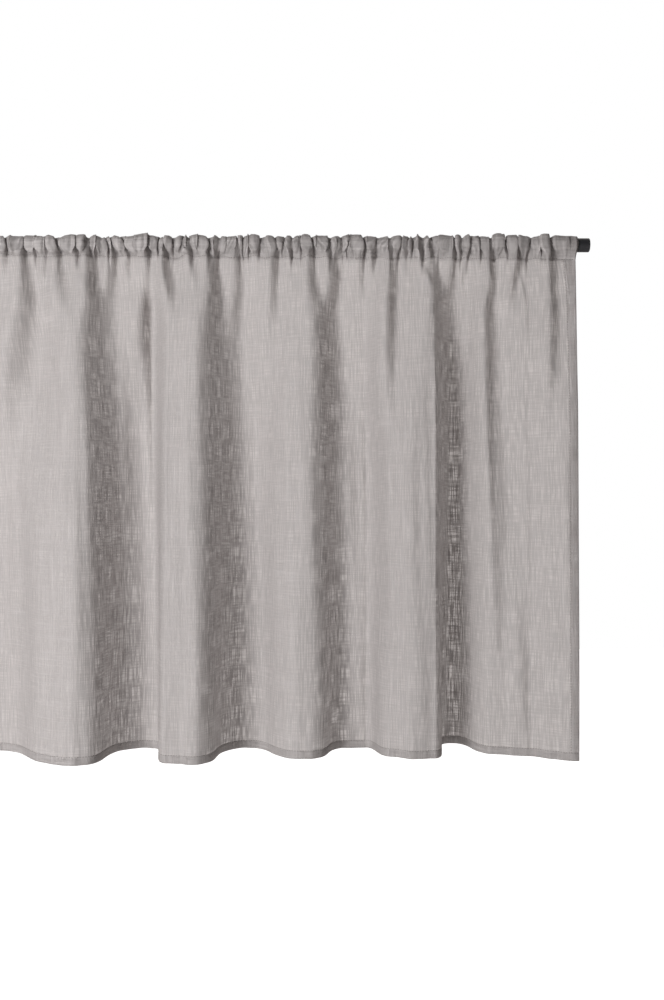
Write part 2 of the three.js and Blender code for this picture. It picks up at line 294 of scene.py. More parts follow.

# %% [markdown]
# Pleats start under the stitching where a few gathers run together. The dark side of a pleat is narrow and
# steep at the top, and it widens, wanders and fades further down. Each one is given as a path down the
# cloth, because it is their unevenness that makes a hung cloth look real.

# %% Paths of the pleats below the heading
# each point of a path: down from the rod, across, half the width of the dark side, how steep it is.
# across is the place seen from the camera, at the rod's distance
PLEATS = [
    [(17, -388, 4, 0.9), (60, -387, 5, 0.6), (100, -386, 6, 0)],
    [(17, -360, 4, 1.1), (70, -364, 5, 0.9), (140, -366, 7, 0)],
    [(17, -327, 3.5, 0.8), (40, -325, 4, 0.6), (60, -325, 5, 0)],
    [(17, -298, 4, 1.1), (60, -300, 5, 1), (160, -302, 7, 0)],
    [(17, -262, 3.5, 0.9), (34, -264, 4.6, 0.6), (58, -266, 5.8, 0)],
    [(17, -238, 4.8, 1.8), (46, -237, 6, 2), (69, -236, 7, 2.3), (98, -240, 9, 2.7), (145, -245, 11, 2.6),
     (190, -246, 11, 1.6), (290, -244, 12, 0)],
    [(17, -227, 2.9, 0.7), (34, -228, 3.5, 0)],
    [(17, -217, 3, 0.8), (34, -218, 4, 0.8), (54, -218, 4.5, 0)],
    [(17, -199, 4, 1.2), (40, -197, 5, 1.3), (63, -196, 5.5, 1), (95, -195, 6, 0)],
    [(17, -179, 2.3, 0.5), (38, -173, 3.5, 0.4), (58, -169, 4.6, 0)],
    [(17, -162, 4.8, 1.8), (52, -160, 5.8, 1.8), (87, -162, 7, 1.2), (156, -164, 7, 0.7),
     (249, -162, 7, 0)],
    [(17, -137, 4.1, 1.1), (40, -140, 4.6, 1.1), (69, -147, 5.8, 0.7), (110, -148, 7, 0)],
    [(17, -125, 1.7, 0.5), (33, -119, 1.7, 0.4), (46, -116, 2.3, 0)],
    [(17, -118, 1.7, 0.8), (29, -119, 2.3, 0)],
    [(19, -96, 4.6, 0.8), (46, -96, 4.1, 0.9), (69, -98, 4.8, 2.2), (104, -98, 5, 2),
     (145, -95, 4.6, 1.4), (214, -92, 4, 0.5), (300, -90, 4, 0)],
    [(15, -77, 4, 1.6), (34, -76, 5, 1.6), (54, -74, 5.4, 1.2), (67, -73, 4.6, 0.5), (84, -73, 4.6, 0)],
    [(15, -47, 3.5, 0.9), (31, -43, 3.5, 0.6), (58, -39, 3.5, 0)],
    [(15, -21, 4.8, 1.7), (52, -18, 5.2, 1.7), (98, -20, 7, 1), (179, -21, 7, 0)],
    [(15, 8, 4.1, 1), (46, 9, 4.6, 0.9), (75, 7, 4.6, 0.7), (116, 0, 5.8, 0)],
    [(15, 33, 1.7, 0.7), (24, 33, 1.7, 0)],
    [(15, 51, 4.1, 1.1), (40, 50, 4.1, 1), (63, 49, 5, 0.9), (116, 45, 7, 0.6), (156, 44, 7, 0.3),
     (210, 44, 7, 0)],
    [(15, 69, 1.7, 0.7), (24, 69, 1.7, 0)],
    [(15, 93, 4.6, 1), (46, 95, 5.8, 1), (77, 103, 7, 1), (116, 109, 7, 0.9), (202, 111, 7, 0.3),
     (272, 111, 7, 0)],
    [(15, 118, 4.6, 1.3), (34, 121, 5, 1.5), (54, 118, 4.6, 1.3), (77, 114, 4.6, 0.7), (104, 111, 4.6, 0)],
    [(15, 150, 2.9, 0.8), (34, 150, 2.9, 0.6), (63, 150, 3.5, 0)],
    [(15, 165, 2.9, 0.9), (26, 164, 2.9, 0.4), (40, 161, 3.5, 0)],
    [(15, 189, 4.6, 1), (46, 186, 5.6, 1.2), (69, 184, 6, 1.4), (116, 182, 6, 1.4), (162, 180, 6, 0.8),
     (225, 179, 6, 0)],
    [(17, 220, 2.9, 0.7), (36, 228, 3.5, 0.7), (52, 232, 3.5, 0)],
    [(15, 237, 4.1, 1.2), (46, 238, 4.1, 1.4), (81, 238, 5.2, 1.3), (116, 242, 7, 1), (202, 248, 7, 0.6),
     (295, 246, 7, 0)],
    [(15, 259, 4.1, 1.2), (40, 256, 4.6, 1.1), (69, 252, 4.6, 0.4), (98, 250, 4.6, 0)],
    [(17, 274, 2.3, 0.6), (34, 269, 2.3, 0.3), (46, 267, 2.3, 0)],
    [(15, 289, 2.3, 0.5), (31, 292, 2.3, 0)],
    [(15, 301, 4.1, 1.3), (40, 303, 4.1, 1.2), (69, 297, 6.2, 1.6), (145, 299, 7.5, 1.5),
     (226, 302, 8.5, 1.3), (300, 306, 9, 0.9), (388, 310, 10, 0.5), (500, 312, 10, 0)],
    [(15, 332, 3.5, 1.3), (34, 328, 3.5, 1.1), (54, 325, 3.5, 0.7), (77, 325, 3.5, 0)],
    [(15, 341, 1.7, 0.6), (34, 341, 2.3, 0)],
    [(31, 335, 1, 0.5), (54, 340, 1, 0.5), (87, 343, 1, 0.4), (133, 344, 1, 0)],
    [(38, 268, 1, 0.5), (63, 273, 1, 0.4), (121, 269, 1, 0)],
    [(15, 372, 4.1, 1.1), (52, 373, 4.6, 1), (98, 375, 5.2, 1), (156, 373, 5.8, 0.5), (190, 373, 6, 0)],
    [(200, 160, 4.6, 0), (272, 161, 4.6, 0.5), (365, 164, 5, 0.7), (457, 168, 5.5, 0.8),
     (527, 172, 6, 0.8), (643, 178, 6, 0.7)],
    [(180, 148, 9, 0), (260, 148, 9, 0.35), (480, 149, 9, 0.4), (643, 150, 9, 0.35)],
    [(98, 346, 4.6, 0), (179, 345, 5.8, 0.3), (365, 342, 5.8, 0.4), (457, 340, 6, 0.6),
     (520, 342, 6, 0.6), (643, 346, 6, 0.3)],
]
pleats = [np.array(path, float) for path in PLEATS]
print(len(pleats), "pleats, the steepest", max(path[:, 3].max() for path in pleats))

# %% [markdown]
# A dark side is a steep stretch, so the slopes of all pleats are added up into depth. That alone would
# carry the sheet further back with every pleat. The real sheet comes forward again between them, so each
# step is evened out over the cloth around it. Gentle ripples keep the cloth between the pleats from looking
# pressed.

# %% Depth of the pleats
# millimetres below the rod where pleats set in, and where they pass from their upper to their lower form
PLEAT_RISE = (1, 14)
WIDENS_DOWN = (16, 110)
# the upper and the lower form: how much wider and how much flatter than in the table
WIDER = (1.25, 1.7)
FLATTER = (1.1, 0.95)
# how much steeper a dark side is than in the table, and what the narrow ones have on top of that
STEEPER = 1.2
NARROW_STEEPER = 1.3
# over how much cloth a step is evened out, at the two depths that follow it
EVENED_OVER = (24, 50)
EVENED_DOWN = (30, 260)
EVENED_REACH = 2.5

# height, wavelength, drift to the right for each millimetre down, start
RIPPLES = [(0.65, 23, 0.05, 0.4), (1.1, 37, -0.04, 2.0), (0.34, 14.5, 0.02, 4.1)]
RIPPLE_SWELL = 120
SEEN_STEP = 0.5
SEEN_MARGIN = 60
SEEN = np.arange(-HALF_WIDTH - SEEN_MARGIN, HALF_WIDTH + SEEN_MARGIN, SEEN_STEP)


def mix(a, b, t):
    return a + (b - a) * t


def smoothstep(span, value):
    t = np.clip((value - span[0]) / (span[1] - span[0]), 0, 1)
    return t * t * (3 - 2 * t)


def evened(values, step, over, reach, **past_ends):
    """Values a step apart, each one replaced by a soft mean of those around it."""
    count = round(reach * over / step)
    weight = np.exp(-((np.arange(-count, count + 1) * step / over) ** 2))
    return np.convolve(np.pad(values, count, **past_ends), weight / weight.sum(), "valid")


def pleat_depth(down):
    """How far back the pleats take the sheet, for every place in SEEN."""
    slope = np.zeros_like(SEEN)
    lower = smoothstep(WIDENS_DOWN, down)
    for path in pleats:
        across, half, steep = (np.interp(down, path[:, 0], path[:, i]) for i in (1, 2, 3))
        if steep > 0:
            steep *= (STEEPER + NARROW_STEEPER / half) * mix(*FLATTER, lower)
            slope += steep * np.exp(-(((SEEN - across) / (half * mix(*WIDER, lower))) ** 2))
    depth = np.cumsum(slope) * SEEN_STEP
    for high, length, drift, start in RIPPLES:
        swell = high * math.cos(down / RIPPLE_SWELL + start)
        depth += swell * np.sin(2 * math.pi * (SEEN - drift * down) / length + start)
    over = mix(*EVENED_OVER, smoothstep(EVENED_DOWN, down))
    around = evened(depth, SEEN_STEP, over, EVENED_REACH, mode="reflect", reflect_type="odd")
    return (depth - around) * smoothstep(PLEAT_RISE, down)


print(f"pleats 100 mm down are {np.ptp(pleat_depth(100)):.0f} mm deep")

# %% [markdown]
# Seen from above, one row of the sheet is a long wavy line. Near the heading the folds are shallow and lean
# to the left, and further down they grow as deep as the table says. The cloth of a half fold is as long at
# every height, so its line only bends more or less. The side hem on the right curls back a little, and the
# pleats are laid on top.

# %% Plan of the whole width at one height
FOLD_GROWTH = 150
LEAN_FADES = 150
# how far the cloth turns back at the right edge, how near to the edge that starts and is full,
# where it grows and fades on the way down, and the share that has gone at the bottom
EDGE_CURL = 0.2
CURL_NEAR_EDGE = (18, 8)
CURL_GROWS = (60, 260)
CURL_FADES = (520, 590)
CURL_LOST = 0.6

sample_along = fold_start[:-1, None] + fold_cloth[:, None] * MIDDLES


def below_stitching(down):
    return max(down - STITCH_DOWN, 0)


def fold_growth(down):
    """The share of its full depth that a fold has at a height."""
    whole = 1 - math.exp(-below_stitching(BOTTOM_DOWN) / FOLD_GROWTH)
    return (1 - np.exp(-below_stitching(down) / FOLD_GROWTH)) / whole


def edge_direction(along, down):
    much = smoothstep(CURL_GROWS, down) * (1 - CURL_LOST * smoothstep(CURL_FADES, down))
    return EDGE_CURL * much * smoothstep(CURL_NEAR_EDGE, FLAT_WIDTH - along)


def plan_at(down):
    """x and y of the sheet at a height, with the places on the flat cloth that they belong to."""
    x = turns["x"] - turns["lean"] * math.exp(-below_stitching(down) / LEAN_FADES)
    y = turns["y"] * fold_growth(down)
    width = np.diff(x)
    depth = np.diff(y)
    share_back = np.abs(depth) / fold_cloth
    deep = np.sign(depth) * solve(lambda angle: fold_rise(angle) - share_back, 0, STEEPEST, FOLD_COUNT)
    angle = deep[:, None] * swing + edge_direction(sample_along, down)
    step = (fold_cloth / SAMPLES)[:, None]
    run = np.cumsum(step * np.cos(angle), axis=1)
    rise = np.cumsum(step * np.sin(angle), axis=1)
    run *= (width / run[:, -1])[:, None]
    rise += (depth - rise[:, -1])[:, None] * ENDS
    all_x = np.append(x[0], (x[:-1, None] + run).ravel())
    all_y = np.append(y[0], (y[:-1, None] + rise).ravel())
    seen = CAMERA_X + (all_x - CAMERA_X) * CAMERA_DISTANCE / (CAMERA_DISTANCE + all_y)
    all_y += np.interp(seen, SEEN, pleat_depth(down))
    steps = np.hypot(np.diff(all_x), np.diff(all_y)).reshape(FOLD_COUNT, SAMPLES)
    share = np.cumsum(steps, axis=1) / steps.sum(axis=1)[:, None]
    along = fold_start[:-1, None] + fold_cloth[:, None] * share
    return np.append(0, along.ravel()), all_x, all_y


print(f"bottom edge {np.ptp(plan_at(BOTTOM_DOWN)[2]):.0f} mm deep")

# %% [markdown]
# The sheet is one open surface of real layers, as the sewn cloth is. Each side hem turns back behind the
# sheet, so the list of columns starts at the turned edge on the left, passes the fold of the hem, crosses
# the front and ends at the turned edge on the right. At the hem's seam the two layers are pulled together,
# which leaves a small dent.

# %% Columns of the sheet
COLUMN_COUNT = 860
EDGE_TURN = 0.8
SEAM_DENT = 0.45
FIRST_FRONT = 4
LAST_FRONT = FIRST_FRONT - 1 + COLUMN_COUNT
HEM_COLUMN = round(HEM_WIDTH / (FLAT_WIDTH / COLUMN_COUNT))


def sheet_columns():
    """Places on the flat cloth from side hem to side hem, how far behind the sheet they are, and their u."""
    front = np.linspace(EDGE_TURN, FLAT_WIDTH - EDGE_TURN, COLUMN_COUNT)
    turned = np.array([HEM_WIDTH, HEM_WIDTH / 2, EDGE_TURN * 1.5])
    along = np.concatenate([turned, [0], front, [FLAT_WIDTH], FLAT_WIDTH - turned[::-1]])
    behind = np.concatenate([[1, 1, 1, 0.5], np.zeros(COLUMN_COUNT), [0.5, 1, 1, 1]]) * LAYER_GAP
    behind[[FIRST_FRONT + HEM_COLUMN, LAST_FRONT - HEM_COLUMN]] = SEAM_DENT
    u = np.concatenate([-turned, [0], front, [FLAT_WIDTH], FLAT_WIDTH + turned[::-1]])
    return along, behind, u


column_along, column_behind, column_u = sheet_columns()
print(f"{len(column_u)} columns, {FLAT_WIDTH / COLUMN_COUNT:.2f} mm apart")

# %% [markdown]
# The heading is the pocket with the rod in it. Its gathers are crests, mostly five to fifteen millimetres
# wide, between creases that run over the rod and down its front. No two are alike on real linen, so the
# table gives each crease its own place at three heights, the depth that the crests fall to there, and the
# narrow dark cleft in it, if it has one. Some clefts open into a small hollow above the stitching.

# %% Creases between the gathers
# each crease, in millimetres along the rod: where it is at the top, at the rod's front and at the stitching,
# how far the crests fall there, half the width of the cleft between them, and
# how much wider the cleft is at the stitching
GATHER_COLUMNS = ("top", "middle", "stitch", "deep", "cleft", "opens")
GATHERS = [
    (-394, -392, -391, 0.8, 1, 0.4), (-385, -386, -383, 0.5, 0, 0), (-374, -372, -371, 1, 1.2, 0.4),
    (-366, -364, -365, 0.6, 0, 0), (-355, -354, -351, 0.9, 1, 0.4), (-345, -343, -343, 0.4, 0, 0),
    (-337, -340, -340, 1, 1.2, 0.4), (-326, -326, -327, 0.5, 0, 0), (-319, -316, -316, 0.9, 1.1, 0.4),
    (-309, -308, -305, 0.8, 0.8, 0.4), (-300, -300, -301, 0.4, 0, 0), (-291, -291, -287, 1, 1.2, 0.4),
    (-282, -280, -279, 0.6, 0, 0), (-273, -270, -272, 0.9, 1, 0.4), (-264, -260, -258, 0.9, 1.1, 0.4),
    (-252, -249, -251, 0.25, 0, 0), (-239, -239, -237, 0.8, 1.1, 0.3), (-232, -231, -233, 0.3, 0, 0),
    (-224, -226, -226, 0.5, 0.9, 1.4), (-220, -218, -219, 0.3, 0, 0), (-215, -213, -214, 0.9, 1.2, 0.3),
    (-205, -201, -197, 0.9, 1.2, 0.5), (-193, -191, -189, 0.25, 0, 0), (-180, -179, -176, 0.6, 0.9, 0.3),
    (-171, -169, -169, 0.2, 0, 0), (-166, -163, -162, 0.9, 1, 0), (-159, -156, -157, 0.9, 1, 0.2),
    (-150, -150, -153, 0.6, 0.6, 0), (-147, -143, -141, 0.7, 0.7, 0), (-143, -138, -134, 0.6, 0.9, 1.2),
    (-131, -124, -118, 0.6, 0.8, 1.6), (-108, -107, -107, 0.2, 0, 0), (-96, -95, -94, 0.9, 1.3, 0.3),
    (-82, -85, -84, 0.6, 0.6, 0), (-80, -76, -74, 0.8, 1.4, 1.3), (-68, -67, -67, 0.9, 1.2, 0.2),
    (-56, -57, -61, 0.4, 0.5, 0), (-50, -47, -45, 0.5, 0.9, 0.7), (-38, -37, -35, 0.2, 0, 0),
    (-28, -25, -24, 0.95, 1.4, 0.6), (-14, -13, -16, 0.95, 1.1, 0.6), (-5, -6, -6, 0.4, 0, 0),
    (7, 9, 10, 0.7, 0.8, 0.3), (13, 13, 14, 0.4, 0.5, 0), (23, 22, 20, 0.5, 0.6, 0),
    (33, 33, 32, 0.9, 1, 0.2), (48, 52, 55, 0.9, 1.1, 0.4), (61, 60, 59, 0.5, 0.6, 0),
    (71, 70, 70, 0.9, 1, 0.2), (77, 76, 76, 0.3, 0, 0), (84, 81, 81, 0.7, 0.9, 0.2),
    (90, 93, 96, 0.8, 0.8, 0.3), (102, 102, 103, 0.3, 0, 0), (114, 113, 115, 0.95, 1.2, 0.4),
    (121, 121, 122, 0.25, 0, 0), (126, 128, 129, 0.6, 0.6, 0), (135, 133, 134, 0.6, 0.6, 0.3),
    (143, 142, 144, 0.2, 0, 0), (150, 152, 154, 0.9, 1.2, 0.4), (170, 167, 167, 0.95, 1.5, 0.3),
    (183, 184, 186, 0.95, 1.2, 1.6), (200, 195, 193, 0.6, 0.7, 0.3), (206, 203, 203, 0.5, 0.8, 0),
    (210, 209, 209, 0.8, 1, 0), (221, 220, 221, 0.95, 1.4, 0), (227, 232, 233, 0.9, 0.9, 1.9),
    (238, 237, 239, 0.3, 0, 0), (249, 248, 249, 0.2, 0, 0), (259, 258, 259, 0.8, 0.9, 1.2),
    (267, 265, 266, 0.8, 1, 0.2), (274, 273, 274, 0.8, 0.9, 0.3), (280, 279, 280, 0.2, 0, 0),
    (287, 286, 288, 0.6, 0.8, 0.2), (293, 292, 294, 0.2, 0, 0), (300, 300, 303, 0.95, 1.6, 1.3),
    (310, 309, 311, 0.2, 0, 0), (318, 317, 319, 0.5, 0.7, 0), (331, 330, 333, 0.95, 1.2, 1.2),
    (338, 337, 338, 0.2, 0, 0), (347, 344, 343, 0.8, 0.9, 0.4), (358, 357, 358, 0.4, 0.6, 0),
    (368, 366, 370, 0.95, 1, 2.2), (383, 382, 383, 0.15, 0, 0), (403, 403, 403, 1, 0, 0),
]
gathers = columns_of(GATHERS, GATHER_COLUMNS)
CLEFT_DEPTH = 6
CLEFT_OPENS = (0.55, 1)
CLEFT_EDGE = 2.5
LEAST_CLEFT = 0.1


def creases_at(toward_stitch):
    """Where the creases are: 0 is the top of the rod, 1 the stitching, and what is below 0 lies behind."""
    down = max(toward_stitch, 0)
    bow = gathers["middle"] - (gathers["top"] + gathers["stitch"]) / 2
    return mix(gathers["top"], gathers["stitch"], down) + 4 * down * (1 - down) * bow


def clefts(x, crease, toward_stitch):
    """How deep the dark clefts between the crests are at x."""
    opened = gathers["opens"] * smoothstep(CLEFT_OPENS, toward_stitch)
    half = np.maximum(gathers["cleft"] + opened, LEAST_CLEFT)
    near = np.exp(-np.abs((x[:, None] - crease) / half) ** CLEFT_EDGE)
    return CLEFT_DEPTH * (near * np.sign(gathers["cleft"])).max(axis=1)


print(len(GATHERS), "creases,", np.count_nonzero(gathers["cleft"]), "of them with a cleft")

# %% [markdown]
# A crest stands out from the rod by about two thirds of its width, up to a limit, because there is only so
# much cloth in it. Where two creases are far apart the cloth is hardly gathered, and it lies nearly flat. A
# crest is pointed at the top of the rod, rounder in front, steeper on one side than on the other, and a
# little crumpled.

# %% Form of a crest
CREST_ROUND = 0.68
FULLEST_CREST = 6
# a crest as wide as the first is still full, and one as wide as the second has lost the share that follows
FLATTENS = (13, 23)
FLAT_LOSS = 0.65
# how much the crests differ in height, and how fast that changes from crest to crest
CREST_UNEVEN = [(0.22, 2.3), (0.18, 4.1)]
TOP_UNEVEN = (0.4, 5.3)
# where across a crest its highest place is: the mean, the most that it differs, and how fast that changes
CREST_PEAK = (0.6, 0.15, 3.1)
# a crest's fall to its creases: the share that is round, the power of the rest on top and in front
ROUND_FALL = 0.4
CREST_POINT = (1.2, 2.2)
POINTED_UNTIL = (0, 0.4)
# small dents: their depth, then two waves along the rod with their drift towards the stitching
CRUMPLE = 0.45
CRUMPLE_WAVES = ((0.93, 2.6), (0.37, -1.9))
# crests lean to either side by this much of their height
CREST_LEAN = 0.75
LEAN_WAVE = (0.43, 1.3, 0.11)


def notch(away, toward_stitch):
    """A crest's fall at a share of the way to its middle."""
    left = 1 - np.clip(away, 0, 1)
    power = mix(*CREST_POINT, smoothstep(POINTED_UNTIL, toward_stitch))
    return ROUND_FALL * (1 - np.sqrt(1 - left**2)) + (1 - ROUND_FALL) * left**power


def crest_heights(wide, toward_stitch):
    """How far each crest stands out where it is highest."""
    order = np.arange(len(wide))
    uneven = 1 + sum(much * np.sin(rate * order) for much, rate in CREST_UNEVEN)
    uneven += TOP_UNEVEN[0] * np.sin(TOP_UNEVEN[1] * order) * (1 - abs(toward_stitch))
    full = np.minimum(CREST_ROUND * wide, FULLEST_CREST)
    return full * uneven * (1 - FLAT_LOSS * smoothstep(FLATTENS, wide))


def crumple(x, toward_stitch):
    waves = [np.sin(rate * x + drift * toward_stitch) for rate, drift in CRUMPLE_WAVES]
    return CRUMPLE * waves[0] * waves[1]


def gather_stand(x, toward_stitch):
    """How far the heading stands out at x."""
    crease = creases_at(toward_stitch)
    wide = np.maximum(np.diff(crease), 1)
    i = np.clip(np.searchsorted(crease, x) - 1, 0, len(wide) - 1)
    peak = CREST_PEAK[0] + CREST_PEAK[1] * np.sin(CREST_PEAK[2] * np.arange(len(wide)))
    share = np.clip((x - crease[i]) / wide[i], 0, 1) ** (np.log(0.5) / np.log(peak[i]))
    height = np.interp(x, (crease[1:] + crease[:-1]) / 2, crest_heights(wide, toward_stitch))
    fall_left = gathers["deep"][i] * notch(2 * share, toward_stitch)
    fall_right = gathers["deep"][i + 1] * notch(2 - 2 * share, toward_stitch)
    standing = (height + crumple(x, toward_stitch)) * np.clip(1 - fall_left - fall_right, 0, 1)
    return standing - clefts(x, crease, toward_stitch)


def gather_lean(x):
    rate, swerve, slow = LEAN_WAVE
    return CREST_LEAN * np.sin(rate * x + swerve * np.sin(slow * x))


print(f"crests stand out up to {gather_stand(SEEN, 0.5).max():.1f} mm in front of the rod")


# %% [markdown]
# The gathers don't end at the stitching. They run on below it and get softer with every millimetre, until
# the cloth hangs free. The cloth is shared out with them: the steep sides of a crest take more of it than
# its top does.

# %% Gathers at the stitching and below
FINE_STEP = 0.25
CLEFT_BELOW = 1.6
GATHER_AT_STITCH = 0.55
GATHER_FADES = 24
GATHER_GONE = 110
SOFT_AT_STITCH = 0.5
GATHER_SOFTENS = 0.09
SOFT_REACH = 3

FINE_X = np.arange(top_x[0], top_x[-1] + FINE_STEP / 2, FINE_STEP)
STITCH_STAND = np.maximum(gather_stand(FINE_X, 1.0), -CLEFT_BELOW)


def gather_below(x, down):
    """The form of the gathers below the stitching."""
    soft = SOFT_AT_STITCH + GATHER_SOFTENS * (down - STITCH_DOWN)
    return np.interp(x, FINE_X, evened(STITCH_STAND, FINE_STEP, soft, SOFT_REACH, mode="edge"))


def gathered_x(toward_stitch):
    """The place along the rod of each column of the sheet."""
    stand = gather_stand(FINE_X, toward_stitch)
    length = np.append(0, np.cumsum(np.hypot(np.diff(FINE_X), np.diff(stand))))
    at_turns = np.interp(top_x, FINE_X, length)
    along = np.interp(length, at_turns, fold_start)
    return np.interp(column_along, along, FINE_X)


print(f"gathers stand out up to {STITCH_STAND.max():.1f} mm at the stitching")

# %% [markdown]
# A row of the sheet follows the plan at its height. Near the heading it also carries what is left of the
# gathers. The line of the stitching isn't straight: it slants a little, and it scallops where the gathers
# pull it up. A turned layer lies behind its row, at a right angle to the cloth.

# %% Rows of the hanging sheet
FORWARD = 3
FORWARD_GONE = 60
STITCH_SLOPE = (-2.4, 2.9)
SLOPE_GONE = 160
# height, rate along the rod, start
SCALLOPS = [(1.2, 0.175, 0.8), (0.7, 0.31, 2)]
SCALLOP_GONE = 40


def stitch_line(px, down):
    """How far below its even height the sheet is, near the stitching."""
    slope = mix(*STITCH_SLOPE, (px + HALF_WIDTH) / (2 * HALF_WIDTH))
    slope *= 1 - smoothstep((STITCH_DOWN, SLOPE_GONE), down)
    scallop = sum(high * np.sin(rate * px + start) for high, rate, start in SCALLOPS)
    return slope + scallop * (1 - smoothstep((STITCH_DOWN, SCALLOP_GONE), down))


def sheet_at(down, behind=0.0):
    """A row of the hanging sheet, or of a layer that far behind it."""
    along, x, y = plan_at(down)
    px = np.interp(column_along, along, x)
    py = np.interp(column_along, along, y)
    py -= FORWARD * math.exp(-below_stitching(down) / FORWARD_GONE)
    if down < GATHER_GONE:
        gather = GATHER_AT_STITCH * math.exp(-(down - STITCH_DOWN) / GATHER_FADES)
        px = mix(px, gathered_x(1.0), gather)
        py += np.interp(px, x, y) - np.interp(column_along, along, y) - gather * gather_below(px, down)
    dx = np.gradient(px)
    dy = np.gradient(py)
    # where a fold runs back on itself, dx is negative, and behind is still away from the room
    length = np.hypot(dx, dy) * np.where(dx < 0, -1, 1)
    off = column_behind + behind
    return np.column_stack([px - dy / length * off, py + dx / length * off, -down - stitch_line(px, down)])


stitch_down = -sheet_at(STITCH_DOWN)[:, 2]
print(f"stitching between {stitch_down.min():.1f} and {stitch_down.max():.1f} mm down")

# %% [markdown]
# The pocket is one loop round the rod. It lies on the rod over the top, and from where it leaves the rod it
# runs straight down to the stitching, in front and behind. So its rows go round the rod by angle, each
# point at the distance of the rod or of that straight line, with the gathers on top.

# %% Rows of the pocket round the rod
POCKET_ROWS = 28
ROD_GAP = 0.2
ROD_RADIUS = (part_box("rod")[1][2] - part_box("rod")[0][2]) / 2 / MM
# the share of a crest's height that it keeps round the rod: at its top and bottom, and at its front
STAND_OVER_ROD = (0.5, 1.0)
# behind the rod the creases run straight on, and the crests change half as fast as in front
CHANGE_BEHIND = -0.5
# the straight line's distance grows with the angle from where it leaves the rod, up to this one, in radians
WIDEST_LEAVING = 1.5
# this far below the rod's middle the loop starts to pass over into the line of the stitching
BLENDS_FROM = 2


def pocket_row(angle, stitch):
    """One row, at an angle round the rod: 90 degrees is its top, and smaller angles are in front."""
    low_edge = -stitch[:, 2]
    from_top = abs(angle - 90) / 180
    toward_stitch = from_top if angle < 90 else CHANGE_BEHIND * from_top
    x = gathered_x(toward_stitch)
    stand = gather_stand(x, toward_stitch)
    stand *= np.where(stand > 0, mix(*STAND_OVER_ROD, math.sin(math.pi * from_top)), 1)
    out = ROD_RADIUS + ROD_GAP + stand
    from_below = math.radians(180 - abs(angle - 90))
    tangent = np.arccos(np.clip(out / low_edge, -1, 1))
    straight = out / np.cos(np.clip(tangent - from_below, 0, WIDEST_LEAVING))
    radius = np.minimum(np.where(from_below < tangent, straight, out), low_edge)
    z = radius * math.sin(math.radians(angle))
    low = smoothstep((0, 1), (-z - BLENDS_FROM) / (low_edge - BLENDS_FROM))
    back = low * LAYER_GAP if angle > 90 else 0
    y = stitch[:, 1] * low - radius * math.cos(math.radians(angle))
    # no cleft cuts into the rod
    clear = np.maximum((ROD_RADIUS + ROD_GAP) / np.hypot(y, z), 1)
    x = mix(x + gather_lean(x) * stand, stitch[:, 0], low)
    return np.column_stack([x, y * clear + back + column_behind, z * clear])


def pocket_rows():
    """Rows round the rod, from the stitching behind over the top to the stitching in front."""
    stitch = sheet_at(STITCH_DOWN)
    return [pocket_row(mix(270, -90, i / POCKET_ROWS), stitch) for i in range(POCKET_ROWS + 1)]


print(f"rod {2 * ROD_RADIUS:.0f} mm across, with {POCKET_ROWS + 1} rows round it")


# %% [markdown]
# All rows together go the way that the cloth does: from the sewn-down edge behind the rod, over the rod,
# down the front, round the bottom edge and up behind to the turned edge of the hem. Rows are close where
# the form is small, at the gathers and at the hem, and far apart between them.

# %% The whole grid of the sheet
GATHER_ROWS = [16, 18.5, 21, 24, 27, 30, 34, 38, 42, 47, 52, 58, 64, 71, 78, 86, 94, 103, 112, 122, 132]
BELOW_GATHERS = 8
ABOVE_HEM = 7
EVEN_ROW_COUNT = 49
SEAM_ROW_STEP = 1.2
SEWN_EDGE = 2.5

HEM_SEAM = BOTTOM_DOWN - HEM_WIDTH
HEM_ROWS = [HEM_SEAM - SEAM_ROW_STEP, HEM_SEAM, HEM_SEAM + SEAM_ROW_STEP]
HEM_ROWS += [HEM_SEAM + HEM_WIDTH / 2, BOTTOM_DOWN - 1]
EVEN_ROWS = np.linspace(GATHER_ROWS[-1] + BELOW_GATHERS, HEM_SEAM - ABOVE_HEM, EVEN_ROW_COUNT).tolist()
FRONT_ROWS = GATHER_ROWS + EVEN_ROWS + HEM_ROWS
STITCH_BEHIND_ROW = 1
STITCH_FRONT_ROW = STITCH_BEHIND_ROW + POCKET_ROWS
HEM_SEAM_ROW = STITCH_FRONT_ROW + 1 + FRONT_ROWS.index(HEM_SEAM)


def sheet_rows():
    rows = [sheet_at(STITCH_DOWN + SEWN_EDGE, LAYER_GAP)]
    rows += pocket_rows()
    rows += [sheet_at(down, SEAM_DENT if down == HEM_SEAM else 0) for down in FRONT_ROWS]
    rows += [sheet_at(BOTTOM_DOWN, LAYER_GAP / 2)]
    rows += [sheet_at(down, LAYER_GAP) for down in (BOTTOM_DOWN - SEAM_ROW_STEP, BOTTOM_DOWN - HEM_WIDTH / 2)]
    rows += [sheet_at(HEM_SEAM, LAYER_GAP)]
    return np.array(rows)


grid = sheet_rows()
print("rows and columns", grid.shape[:2])

# %% [markdown]
# The grid becomes one mesh of quads. Its own map lays every point where it was on the flat cloth: across by
# the column, and down by the length of cloth between the rows. A weave on this map follows the cloth into
# every fold without stretching, which a pattern in space can't do.

